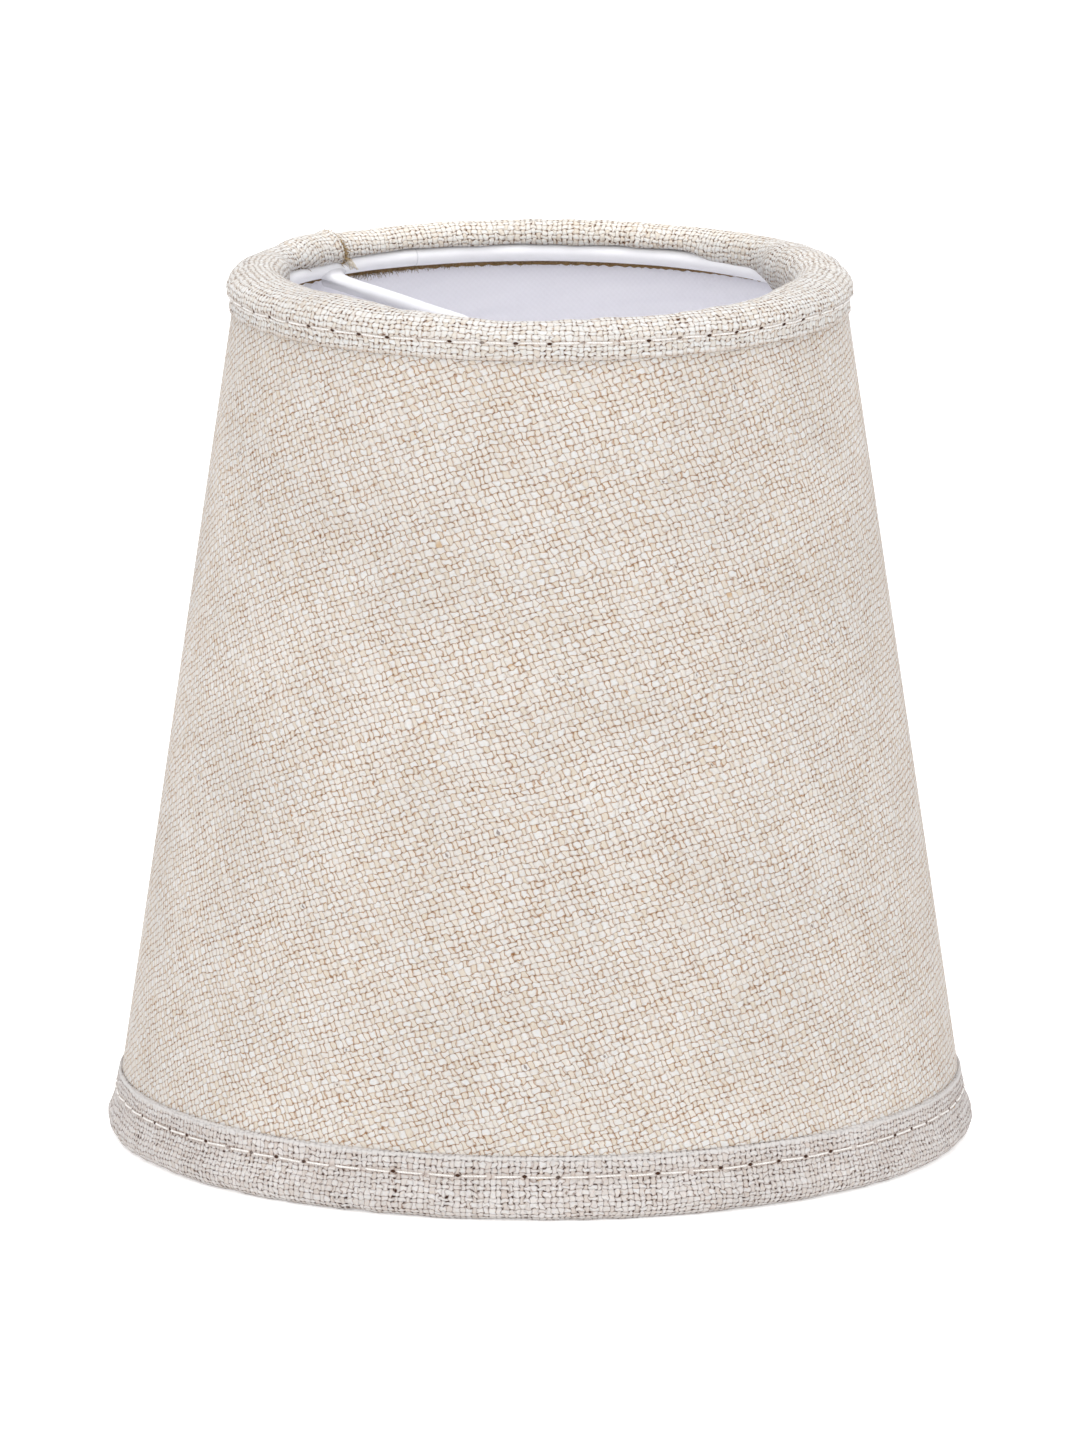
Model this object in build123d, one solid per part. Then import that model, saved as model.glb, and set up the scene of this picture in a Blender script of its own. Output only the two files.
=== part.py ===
from build123d import *
import math
import os

# A small empire lamp shade of laminated linen on two wire rings, with a wire fitter that ends in
# a candle-bulb clip. Millimetres. The shade stands on its bottom trim at z = 0, its axis is Z,
# and the two fitter arms lie along X. The clip tilts about X, and its two hoops open about X.

# ---- driving dimensions ----
BASE_RADIUS = 75.0
HEIGHT = 150.9
TAPER = 0.147                    # radius lost per millimetre of height
LOWER_BAND_EDGE = 10.9           # upper edge of the bottom trim
UPPER_BAND_EDGE = 143.9          # lower edge of the top trim
COVER_RADIUS = 72.45             # outside of the cover at the lower band edge
COVER_THICKNESS = 0.6
LINER_THICKNESS = 0.45
TRIM_THICKNESS = 0.5
GLUE_GAP = 0.03

RING_WIRE_RADIUS = 1.6
TOP_RING_RADIUS = 48.5
TOP_RING_HEIGHT = 145.5
BEAD_RADIUS = 2.7                # the bottom trim's roll around the bottom ring
BEAD_HEIGHT = 2.6                # the roll's centre, so that its underside is a narrow flat face
BEAD_SHOULDER = 58.0             # degrees up from level where the trim's legs leave the roll
BEAD_SLOT = (90.0, 38.0)         # the same for the slot between the legs, inside and outside

ROLL_WIDTH = 7.2                 # the top trim's roll over the top ring
ROLL_OUTSET = 1.8                # how far the roll's middle stands outside the ring's
ROLL_SPRING = 147.6              # height where the roll starts to turn over
COVER_TOP = 147.3
COVER_BOTTOM = 4.3
TOP_TURN_IN = 143.2              # lower edges of the trims' turned-in halves
BOTTOM_TURN_IN = 9.5
TURN_IN_THICKNESS = 0.6

STITCH_PITCH = 5.7
STITCH_LENGTH = 4.8
THREAD_SIZE = 0.36
TOP_STITCH_HEIGHT = UPPER_BAND_EDGE + 3.2
BOTTOM_STITCH_HEIGHT = LOWER_BAND_EDGE - 3.5

SEAM_DIRECTION = 185.7           # degrees round from +X
SEAM_WIDTH = 9.0
SEAM_TAPE_THICKNESS = 0.2
SEAM_TAPE_SHORT = 0.5            # how far the tape stops short of the turned-in edges

ARM_WIRE_RADIUS = 1.35
ARM_START_HEIGHT = TOP_RING_HEIGHT - 2.0
ARM_OVERRUN = 0.4                # how far the arm's end runs past the ring's middle
ARM_SLOPE = 0.135                # height lost per millimetre towards the axis
ARM_BEND_RADIUS = 4.0
ARM_DROP_X = 14.5
PIVOT_HEIGHT = 131.0
EYE_WIDTH = 6.4
EYE_THICKNESS = 1.2
EYE_STEM = 2.0                   # how far the flattened plate runs up into the wire

RUNNING_GAP = 0.05
FACE_GAP = 0.15
RIVET_RADIUS = 1.2
RIVET_HEAD_RADIUS = 2.3
RIVET_HEAD_THICKNESS = 0.7
RIVET_HEAD_ROUNDING = 0.3
EAR_OUTER_X = 12.6
EAR_THICKNESS = 1.0
EAR_WIDTH = 11.6
EAR_BOTTOM = 123.2
EAR_CORNER = 2.0
SADDLE_BEND_RADIUS = 0.8
BRIDGE_TOP = 137.0
BRIDGE_WIDTH = 7.5
WASHER_RADIUS = 3.0

HOOP_WIRE_RADIUS = 0.8
HOOP_HALF_WIDTH = 8.6
HOOP_LENGTH = 32.6
HOOP_LEAN = 20.0                 # degrees that a hoop stands out from upright
HOOP_FOOT_Y = 3.6
HOOP_FOOT_HEIGHT = 126.0
HOOP_FOOT_END_X = 13.1
HOOP_FOOT_BEND = 1.8
HOOP_CROWN_RADIUS = 8.4          # just under the half width, so that the U's end is round

# ---- derived dimensions ----
LINER_INSET = COVER_THICKNESS + GLUE_GAP
LINED_THICKNESS = LINER_INSET + LINER_THICKNESS
BEAD_CENTRE_R = BASE_RADIUS - BEAD_RADIUS
EYE_INNER_X = ARM_DROP_X - EYE_THICKNESS / 2
EYE_OUTER_X = ARM_DROP_X + EYE_THICKNESS / 2


def cone_radius(height):
    """Outer radius of the cover at a height."""
    return COVER_RADIUS - TAPER * (height - LOWER_BAND_EDGE)


def revolved(*edges):
    """A solid turned about Z from a closed outline of (radius, height) edges."""
    outline = make_face(edges)
    return revolve(Plane.XZ * outline, Axis.Z, 360)


def conical_layer(low, high, inset, thickness):
    """A layer that follows the cone, its outside a stated inset within the cover's outside."""
    outer_low = (cone_radius(low) - inset, low)
    outer_high = (cone_radius(high) - inset, high)
    inner_high = (cone_radius(high) - inset - thickness, high)
    inner_low = (cone_radius(low) - inset - thickness, low)
    return revolved(Polyline(outer_low, outer_high, inner_high, inner_low, close=True))


def x_cylinder(radius, x_from, x_to, y, z):
    """A cylinder along X between two X positions."""
    middle = Pos((x_from + x_to) / 2, y, z)
    return middle * Rot(0, 90, 0) * Cylinder(radius, abs(x_to - x_from))


def circle_point(centre, radius, degrees):
    turn = math.radians(degrees)
    return (centre[0] + radius * math.cos(turn), centre[1] + radius * math.sin(turn))


# ---- soft goods ----
def cover_fabric():
    return conical_layer(COVER_BOTTOM, COVER_TOP, 0, COVER_THICKNESS)


def liner():
    return conical_layer(COVER_BOTTOM, COVER_TOP, LINER_INSET, LINER_THICKNESS)


def seam_tape():
    """A strip on the liner's inside where the laminated sheet's two ends meet."""
    inset = LINED_THICKNESS + GLUE_GAP
    low = BOTTOM_TURN_IN + SEAM_TAPE_SHORT
    high = TOP_TURN_IN - SEAM_TAPE_SHORT
    band = conical_layer(low, high, inset, SEAM_TAPE_THICKNESS)
    strip = Pos(cone_radius(0) / 2 + COVER_RADIUS / 2, 0, HEIGHT / 2) * Box(COVER_RADIUS, SEAM_WIDTH, HEIGHT)
    return Rot(0, 0, SEAM_DIRECTION) * (band & strip)


def top_trim():
    """The top trim: an outer half on the cover, a roll over the ring, and a turned-in half."""
    ring = (TOP_RING_RADIUS, TOP_RING_HEIGHT)
    around = RING_WIRE_RADIUS + RUNNING_GAP
    outer_edge = (cone_radius(UPPER_BAND_EDGE) + TRIM_THICKNESS, UPPER_BAND_EDGE)
    roll_centre_r = TOP_RING_RADIUS + ROLL_OUTSET
    roll_out = (roll_centre_r + ROLL_WIDTH / 2, ROLL_SPRING)
    roll_top = (roll_centre_r, HEIGHT)
    roll_in = (roll_centre_r - ROLL_WIDTH / 2, ROLL_SPRING)
    ring_top = circle_point(ring, around, 90)
    ring_shoulder = circle_point(ring, around, 45)
    ring_outside = circle_point(ring, around, 0)
    lined = LINED_THICKNESS + GLUE_GAP
    slot_top = COVER_TOP + GLUE_GAP
    return revolved(
        Line(outer_edge, roll_out),
        ThreePointArc(roll_out, roll_top, roll_in),
        Line(roll_in, ring_top),
        ThreePointArc(ring_top, ring_shoulder, ring_outside),
        Polyline(
            ring_outside,
            (ring_outside[0], TOP_TURN_IN),
            (cone_radius(TOP_TURN_IN) - lined, TOP_TURN_IN),
            (cone_radius(slot_top) - lined, slot_top),
            (cone_radius(slot_top) + GLUE_GAP, slot_top),
            (cone_radius(UPPER_BAND_EDGE) + GLUE_GAP, UPPER_BAND_EDGE),
            outer_edge,
        ),
    )


def bottom_trim():
    """The bottom trim: an outer half on the cover, a bead round the ring, and a turned-in half."""
    bead = (BEAD_CENTRE_R, BEAD_HEIGHT)
    hollow = RING_WIRE_RADIUS + GLUE_GAP
    flat_half = math.sqrt(BEAD_RADIUS**2 - BEAD_HEIGHT**2)
    outer_edge = (cone_radius(LOWER_BAND_EDGE) + TRIM_THICKNESS, LOWER_BAND_EDGE)
    bead_out = circle_point(bead, BEAD_RADIUS, BEAD_SHOULDER)
    bead_in = circle_point(bead, BEAD_RADIUS, 180 - BEAD_SHOULDER)
    turn_in_r = cone_radius(BOTTOM_TURN_IN) - LINED_THICKNESS - GLUE_GAP
    slot_in = circle_point(bead, hollow, BEAD_SLOT[0])
    slot_out = circle_point(bead, hollow, BEAD_SLOT[1])
    return revolved(
        Line(outer_edge, bead_out),
        ThreePointArc(bead_out, (BASE_RADIUS, BEAD_HEIGHT), (BEAD_CENTRE_R + flat_half, 0)),
        Line((BEAD_CENTRE_R + flat_half, 0), (BEAD_CENTRE_R - flat_half, 0)),
        ThreePointArc(
            (BEAD_CENTRE_R - flat_half, 0), (BEAD_CENTRE_R - BEAD_RADIUS, BEAD_HEIGHT), bead_in
        ),
        Polyline(
            bead_in,
            (turn_in_r - TURN_IN_THICKNESS, BOTTOM_TURN_IN),
            (turn_in_r, BOTTOM_TURN_IN),
            slot_in,
        ),
        ThreePointArc(slot_in, (BEAD_CENTRE_R, BEAD_HEIGHT - hollow), slot_out),
        Polyline(
            slot_out,
            (cone_radius(LOWER_BAND_EDGE) + GLUE_GAP, LOWER_BAND_EDGE),
            outer_edge,
        ),
    )


def stitching(surface_radius, height):
    """One line of running stitches round a trim, each a short straight thread."""
    count = round(2 * math.pi * surface_radius / STITCH_PITCH)
    centre_r = surface_radius + RUNNING_GAP + THREAD_SIZE / 2
    stitch = Pos(centre_r, 0, height) * Box(THREAD_SIZE, STITCH_LENGTH, THREAD_SIZE)
    return Compound([Rot(0, 0, 360 * i / count) * stitch for i in range(count)])


def top_trim_stitching():
    rise = (TOP_STITCH_HEIGHT - UPPER_BAND_EDGE) / (ROLL_SPRING - UPPER_BAND_EDGE)
    edge_r = cone_radius(UPPER_BAND_EDGE) + TRIM_THICKNESS
    roll_r = TOP_RING_RADIUS + ROLL_OUTSET + ROLL_WIDTH / 2
    return stitching(edge_r + rise * (roll_r - edge_r), TOP_STITCH_HEIGHT)


def bottom_trim_stitching():
    return stitching(cone_radius(BOTTOM_STITCH_HEIGHT) + TRIM_THICKNESS, BOTTOM_STITCH_HEIGHT)


# ---- wire frame ----
def top_ring():
    return Pos(0, 0, TOP_RING_HEIGHT) * Torus(TOP_RING_RADIUS, RING_WIRE_RADIUS)


def bottom_ring():
    return Pos(0, 0, BEAD_HEIGHT) * Torus(BEAD_CENTRE_R, RING_WIRE_RADIUS)


def arm():
    """The arm on the +X side: a wire from under the ring to a flattened eye at the clip."""
    drop_top = ARM_START_HEIGHT - ARM_SLOPE * (TOP_RING_RADIUS - ARM_DROP_X)
    eye_top = PIVOT_HEIGHT + EYE_WIDTH / 2
    route = Plane.XZ * FilletPolyline(
        (TOP_RING_RADIUS + ARM_OVERRUN, ARM_START_HEIGHT),
        (ARM_DROP_X, drop_top),
        (ARM_DROP_X, eye_top),
        radius=ARM_BEND_RADIUS,
    )
    wire = sweep(Plane(route @ 0, z_dir=route % 0) * Circle(ARM_WIRE_RADIUS), route)
    plate_height = EYE_WIDTH / 2 + EYE_STEM
    plate = Pos(ARM_DROP_X, 0, PIVOT_HEIGHT + plate_height / 2) * Box(
        EYE_THICKNESS, EYE_WIDTH, plate_height
    )
    rounded_end = x_cylinder(EYE_WIDTH / 2, EYE_INNER_X, EYE_OUTER_X, 0, PIVOT_HEIGHT)
    hole = x_cylinder(RIVET_RADIUS + GLUE_GAP, EYE_INNER_X - 1, EYE_OUTER_X + 1, 0, PIVOT_HEIGHT)
    weld_seat = Pos(0, 0, TOP_RING_HEIGHT) * Torus(TOP_RING_RADIUS, RING_WIRE_RADIUS + GLUE_GAP)
    return wire + plate + rounded_end - hole - weld_seat


# ---- bulb clip ----
def clip_saddle():
    """A bent strap: a bridge over the bulb's tip and an ear at each end."""
    bridge = Pos(0, 0, BRIDGE_TOP - EAR_THICKNESS / 2) * Box(
        2 * EAR_OUTER_X, BRIDGE_WIDTH, EAR_THICKNESS
    )
    ear_height = BRIDGE_TOP - EAR_BOTTOM
    outline = Pos(0, (BRIDGE_TOP + EAR_BOTTOM) / 2) * RectangleRounded(
        EAR_WIDTH, ear_height, EAR_CORNER
    )
    pivot_hole = Pos(0, PIVOT_HEIGHT) * Circle(RIVET_RADIUS + RUNNING_GAP)
    foot_hole = Circle(HOOP_WIRE_RADIUS + RUNNING_GAP)
    holes = (
        pivot_hole
        + Pos(HOOP_FOOT_Y, HOOP_FOOT_HEIGHT) * foot_hole
        + Pos(-HOOP_FOOT_Y, HOOP_FOOT_HEIGHT) * foot_hole
    )
    ear = extrude(Plane.YZ * (outline - holes), EAR_THICKNESS)
    strap = bridge + Pos(EAR_OUTER_X - EAR_THICKNESS, 0, 0) * ear + Pos(-EAR_OUTER_X, 0, 0) * ear
    bends = strap.edges().filter_by(Axis.Y).group_by(Axis.Z)[-1].sort_by(Axis.X)
    return fillet([bends[0], bends[-1]], SADDLE_BEND_RADIUS)


def rivet_head(seat_x, outer_x):
    """A flat round head with a rounded rim on the side away from its seat."""
    head = x_cylinder(RIVET_HEAD_RADIUS, seat_x, outer_x, 0, PIVOT_HEIGHT)
    rims = head.edges().filter_by(GeomType.CIRCLE).sort_by(Axis.X)
    rim = rims[-1] if outer_x > seat_x else rims[0]
    return fillet(rim, RIVET_HEAD_ROUNDING)


def pivot_rivet():
    """The +X rivet: fast in the arm's eye, with the saddle's ear free to turn on it."""
    inner_face = EAR_OUTER_X - EAR_THICKNESS - FACE_GAP
    outer_face = EYE_OUTER_X + GLUE_GAP
    shank = x_cylinder(RIVET_RADIUS, inner_face, outer_face, 0, PIVOT_HEIGHT)
    inner_head = rivet_head(inner_face, inner_face - RIVET_HEAD_THICKNESS)
    outer_head = rivet_head(outer_face, outer_face + RIVET_HEAD_THICKNESS)
    return shank + inner_head + outer_head


def friction_washer():
    """The +X washer, between the arm's eye and the saddle's ear."""
    inner_x = EAR_OUTER_X + FACE_GAP
    outer_x = EYE_INNER_X - GLUE_GAP
    disc = x_cylinder(WASHER_RADIUS, inner_x, outer_x, 0, PIVOT_HEIGHT)
    hole = x_cylinder(RIVET_RADIUS + RUNNING_GAP, inner_x - 1, outer_x + 1, 0, PIVOT_HEIGHT)
    return disc - hole


def hoop():
    """The +Y hoop: a U of spring wire whose two feet turn out into the saddle's ears."""
    route = Plane.XZ * FilletPolyline(
        (HOOP_FOOT_END_X, 0),
        (HOOP_HALF_WIDTH, 0),
        (HOOP_HALF_WIDTH, -HOOP_LENGTH),
        (-HOOP_HALF_WIDTH, -HOOP_LENGTH),
        (-HOOP_HALF_WIDTH, 0),
        (-HOOP_FOOT_END_X, 0),
        radius=[
            HOOP_FOOT_BEND,
            HOOP_CROWN_RADIUS,
            HOOP_CROWN_RADIUS,
            HOOP_FOOT_BEND,
        ],
    )
    wire = sweep(Plane(route @ 0, z_dir=route % 0) * Circle(HOOP_WIRE_RADIUS), route)
    return Pos(0, HOOP_FOOT_Y, HOOP_FOOT_HEIGHT) * Rot(HOOP_LEAN, 0, 0) * wire


def other_side(solid):
    """The same piece on the far side of the shade's axis."""
    return Rot(0, 0, 180) * solid


pieces = {
    "cover_fabric": cover_fabric(),
    "liner": liner(),
    "seam_tape": seam_tape(),
    "top_trim": top_trim(),
    "bottom_trim": bottom_trim(),
    "top_trim_stitching": top_trim_stitching(),
    "bottom_trim_stitching": bottom_trim_stitching(),
    "top_ring": top_ring(),
    "bottom_ring": bottom_ring(),
    "arm_right": arm(),
    "arm_left": other_side(arm()),
    "clip_saddle": clip_saddle(),
    "pivot_rivet_right": pivot_rivet(),
    "pivot_rivet_left": other_side(pivot_rivet()),
    "friction_washer_right": friction_washer(),
    "friction_washer_left": other_side(friction_washer()),
    "hoop_back": hoop(),
    "hoop_front": other_side(hoop()),
}

os.makedirs("parts", exist_ok=True)
for name, piece in pieces.items():
    piece.label = name
    export_step(piece, f"parts/{name}.step")
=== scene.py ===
import bpy
import math
from functools import partialmethod
import numpy as np
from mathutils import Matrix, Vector


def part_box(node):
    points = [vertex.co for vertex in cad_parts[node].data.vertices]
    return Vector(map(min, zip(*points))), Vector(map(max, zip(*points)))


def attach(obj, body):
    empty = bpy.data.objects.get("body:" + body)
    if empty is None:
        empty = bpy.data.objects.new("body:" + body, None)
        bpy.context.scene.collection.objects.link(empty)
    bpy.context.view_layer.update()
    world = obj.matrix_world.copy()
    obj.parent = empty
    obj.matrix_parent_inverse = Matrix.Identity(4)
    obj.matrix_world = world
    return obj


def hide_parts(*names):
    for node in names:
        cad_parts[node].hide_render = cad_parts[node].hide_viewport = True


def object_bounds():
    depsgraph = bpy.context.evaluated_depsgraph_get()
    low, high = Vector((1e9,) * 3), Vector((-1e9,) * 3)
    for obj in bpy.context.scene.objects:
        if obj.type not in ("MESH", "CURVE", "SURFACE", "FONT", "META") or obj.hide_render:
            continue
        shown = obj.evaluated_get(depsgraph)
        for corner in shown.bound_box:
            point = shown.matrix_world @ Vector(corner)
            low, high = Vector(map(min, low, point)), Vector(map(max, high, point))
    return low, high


# The looks of a small linen lamp shade. Lengths are in metres, and MM turns millimetres into them.
# Angles round the shade are in degrees from +X, and the fitter's arms lie along X.

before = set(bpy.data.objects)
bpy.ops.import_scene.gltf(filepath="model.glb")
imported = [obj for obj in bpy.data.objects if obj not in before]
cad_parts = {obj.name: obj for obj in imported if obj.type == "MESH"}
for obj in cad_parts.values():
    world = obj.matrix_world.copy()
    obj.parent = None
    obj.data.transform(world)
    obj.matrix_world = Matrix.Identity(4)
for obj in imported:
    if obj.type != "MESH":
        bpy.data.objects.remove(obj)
CAD_LOW, CAD_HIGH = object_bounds()

MM = 0.001
rng = np.random.default_rng(7)

# ---- sizes taken from the frame ----


def rim_radius(node, height):
    """The largest radius of a CAD node within a hair of a height."""
    points = np.array([v.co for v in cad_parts[node].data.vertices])
    near = np.abs(points[:, 2] - height) < 0.02 * MM
    return float(np.hypot(points[near, 0], points[near, 1]).max())


def middle_height(node):
    """The height half-way up a CAD node."""
    return (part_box(node)[0].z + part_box(node)[1].z) / 2


LINER_SHEET = 0.45 * MM  # thickness of the liner
TURN_IN_DROP = 0.7 * MM  # how far the top trim's raw edge hangs below its band

COVER_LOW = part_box("cover_fabric")[0].z
COVER_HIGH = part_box("cover_fabric")[1].z
COVER_LOW_R = rim_radius("cover_fabric", COVER_LOW)
COVER_HIGH_R = rim_radius("cover_fabric", COVER_HIGH)
TAPER = (COVER_LOW_R - COVER_HIGH_R) / (COVER_HIGH - COVER_LOW)
LINER_INSET = COVER_LOW_R - rim_radius("liner", COVER_LOW)
LINED = LINER_INSET + LINER_SHEET  # cover, glue and liner together
TOP_TURN_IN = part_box("top_trim")[0].z
UPPER_EDGE = TOP_TURN_IN + TURN_IN_DROP  # lower edge of the top band
ROLL_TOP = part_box("top_trim")[1].z
ROLL_OUT_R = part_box("top_trim")[1].x
LOWER_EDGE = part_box("bottom_trim")[1].z  # upper edge of the bottom band
BASE_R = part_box("bottom_trim")[1].x
RING_Z = middle_height("top_ring")
RING_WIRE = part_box("top_ring")[1].z - RING_Z  # half the ring's thickness
RING_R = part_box("top_ring")[1].x - RING_WIRE
BEAD_Z = middle_height("bottom_ring")
BEAD_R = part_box("bottom_ring")[1].x - RING_WIRE
TOP_STITCH_Z = middle_height("top_trim_stitching")
BOTTOM_STITCH_Z = middle_height("bottom_trim_stitching")

# ---- driving values of the soft goods and the wire ----
CLOTH = 0.32 * MM  # one layer of trim
HALF = CLOTH / 2
HEM = 2.6 * MM  # width of the trims' folded-under hems
HEM_LINE = HALF - 0.12 * MM  # middle of a hem, which is pressed into the cover
BAND_LINE = HEM_LINE + CLOTH + 0.02 * MM  # middle of a trim's outer half, over its hem
INNER_LINE = LINED + HALF + 0.1 * MM  # how far inside the cover's face the inner half lies
FOLD = 0.17 * MM  # radius of the hems' folds
ROLL_SPRING = 147.6 * MM  # height from which the top roll swells
FRONT = 310.7  # the side that faces the camera
LEFT = FRONT - 90  # the sides as the camera sees them
RIGHT = FRONT + 90
SEAM = 185.7  # where the edges of the cover and of the liner meet
THREADS_A = 1.11 * MM  # spacing of the cover's light threads
THREADS_B = 1.055 * MM  # spacing of the cover's tan threads
GRAIN_A = 16.5  # degrees that the light threads rise at the front
GRAIN_B = 114.0  # direction of the tan threads at the front
TRIM_AROUND = 1.02 * MM  # spacing of the trims' threads that cross them
TRIM_ACROSS = 0.95 * MM  # spacing of the threads that run round with them
TOP_STITCHES = 59
BOTTOM_STITCHES = 81
TOP_MEAN_R = 52 * MM  # where the top trim's crossing threads have their spacing
TOP_JOIN = 178.2  # where the top trim's cut end lies on the layer below
BOTTOM_JOIN = 122.0
JOIN_OVERLAP = 9.0  # degrees
LAP_FADE = 5.0  # degrees over which the step of a lap dies away
FRAY_MIDDLE = 164.0  # where the raw edge is frayed most
RING_JOINT = 157.7
THREAD_RADIUS = 0.17 * MM
ARM_WIRE = 1.345 * MM  # where the flare leaves the arm, a hair inside its surface
FLARE = 22 * MM  # length of the flare along the arm
ARM_SLOPE = 0.135
ARM_DROP = 2.0 * MM  # how far below the ring's middle the arm meets it


def cone(height):
    """Radius of the cover's outside at a height."""
    return COVER_LOW_R - TAPER * (height - COVER_LOW)


# ---- mesh building ----


def around(radius, degrees, height):
    """Points at radii, angles and heights, which may be arrays."""
    turn = np.radians(degrees)
    return np.stack(np.broadcast_arrays(radius * np.cos(turn), radius * np.sin(turn), height), axis=-1)


def put_in_scene(name, data):
    """A new object with some data."""
    added = bpy.data.objects.new(name, data)
    bpy.context.scene.collection.objects.link(added)
    return added


def add_object(name, points, faces, loop_uv):
    """A smooth mesh object with a UV map, riding on the shade."""
    mesh = bpy.data.meshes.new(name)
    mesh.from_pydata(points.reshape(-1, 3).tolist(), [], faces)
    layer = mesh.uv_layers.new(name="Threads")
    layer.data.foreach_set("uv", np.asarray(loop_uv, np.float32).ravel())
    mesh.polygons.foreach_set("use_smooth", [True] * len(mesh.polygons))
    mesh.update()
    piece = put_in_scene(name, mesh)
    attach(piece, "shade")
    return piece


def grid_faces(rows, cols, row_stride, wrap):
    """Quads over a grid of points, rows running one after another."""
    i, j = np.meshgrid(np.arange(rows), np.arange(cols), indexing="ij")
    near, far = i * row_stride, (i + 1) % wrap * row_stride
    right = (j + 1) % row_stride
    return np.stack([near + j, far + j, far + right, near + right], axis=-1).reshape(-1, 4)


def grid_uv(u, v):
    """The loops' UVs of grid_faces, from the (rows + 1, cols + 1) values at the grid's corners."""
    low, high = slice(None, -1), slice(1, None)
    corners = [(low, low), (high, low), (high, high), (low, high)]
    uv = np.stack([np.stack([u[c], v[c]], axis=-1) for c in corners], axis=2)
    return uv.reshape(-1, 2)


def circle(sides):
    """Angles round a wire's section, in radians."""
    return np.linspace(0, 2 * math.pi, sides, endpoint=False)


def tube_uv(along, sides):
    """UVs of a tube's faces: the distance along it, and the share of a turn round it."""
    return grid_uv(*np.meshgrid(along, np.arange(sides + 1) / sides, indexing="ij"))


def waves(degrees, low, high, seed, drift=0.0):
    """Smooth noise round the shade: waves from low to high per turn, about 1 in size."""
    source = np.random.default_rng(seed)
    counts = np.arange(low, high + 1)
    phases = source.uniform(0, 2 * math.pi, len(counts))
    sizes = source.uniform(0.4, 1.0, len(counts))
    sizes /= math.sqrt((sizes**2).sum() / 2)
    total = 0.0
    for count, phase, size in zip(counts, phases, sizes):
        total = total + size * np.cos(count * np.radians(degrees) + phase + drift)
    return total


def bell(distance, width):
    """1 in the middle, falling off smoothly with distance."""
    return np.exp(-((distance / width) ** 2))


def ramp(value, start, end):
    """0 before start and 1 after end, smooth between; with end below start, the other way round."""
    t = np.clip((value - start) / (end - start), 0, 1)
    return t * t * (3 - 2 * t)


def turned(degrees, middle):
    """Signed angle from middle, between -180 and 180."""
    return (degrees - middle + 180) % 360 - 180


# ---- cover and liner ----


def development(degrees, radius):
    """Where a point of the cone lies on the flat cut, in metres, with the front at the middle."""
    slope = math.atan(TAPER)
    distance = radius / math.sin(slope)
    turn = np.radians(degrees - FRONT) * math.sin(slope)
    return distance * np.sin(turn), -distance * np.cos(turn)


def grain(across, up):
    """Flat positions as counts of the cover's tan and light threads."""
    a, b = math.radians(GRAIN_A), math.radians(GRAIN_B)
    light = (up * math.cos(a) - across * math.sin(a)) / THREADS_A
    tan = (across * math.sin(b) - up * math.cos(b)) / THREADS_B
    return tan, light


def make_sheet(name, node, inset, unevenness, seed):
    """One stretched sheet of the cone's wall, seam to seam, as a single surface."""
    turns, rises = 540, 72
    degrees = np.linspace(SEAM, SEAM + 360, turns + 1)
    heights = np.linspace(COVER_LOW, COVER_HIGH, rises + 1)
    d, h = np.meshgrid(degrees, heights, indexing="ij")
    share = (h - COVER_LOW) / (COVER_HIGH - COVER_LOW)
    bump = waves(d, 2, 9, seed, 2.0 * share) + 0.5 * waves(d, 10, 26, seed + 1, 5.0 * share)
    radius = cone(h) - inset + unevenness * bump * np.sin(np.pi * share)
    points = around(radius, d, h)[:-1]
    across, up = development(d, cone(h))
    u, v = grain(across, up)
    faces = grid_faces(turns, rises, rises + 1, turns).tolist()
    piece = add_object(name, points, faces, grid_uv(u, v))
    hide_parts(node)
    return piece


def make_wall():
    """The linen cover and the liner, which faces inward."""
    make_sheet("cover", "cover_fabric", 0, 0.07 * MM, 11)
    liner = make_sheet("liner_sheet", "liner", LINED, 0.05 * MM, 21)
    liner.data.flip_normals()


# ---- trims ----


def arc(centre, radius_r, radius_z, start, end, count):
    """Points on an ellipse in the section plane, from one angle to another."""
    turn = np.radians(np.linspace(start, end, count))
    return [(centre[0] + radius_r * math.cos(t), centre[1] + radius_z * math.sin(t)) for t in turn]


def evenly(route, spacing):
    """The route's points moved to even spacing, with the distance along it."""
    route = np.array(route)
    steps = np.hypot(*np.diff(route, axis=0).T)
    distance = np.concatenate([[0], np.cumsum(steps)])
    count = int(round(distance[-1] / spacing)) + 1
    along = np.linspace(0, distance[-1], count)
    return np.stack([np.interp(along, distance, route[:, k]) for k in (0, 1)], axis=-1), along


def hem_fold(edge, up):
    """The half turn of a hem's fold: up is 1 at a band's lower edge, and -1 at its upper edge."""
    centre = (cone(edge) + (HEM_LINE + BAND_LINE) / 2, edge + up * FOLD)
    return arc(centre, FOLD, FOLD, -180 * up, 0, 7)


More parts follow.
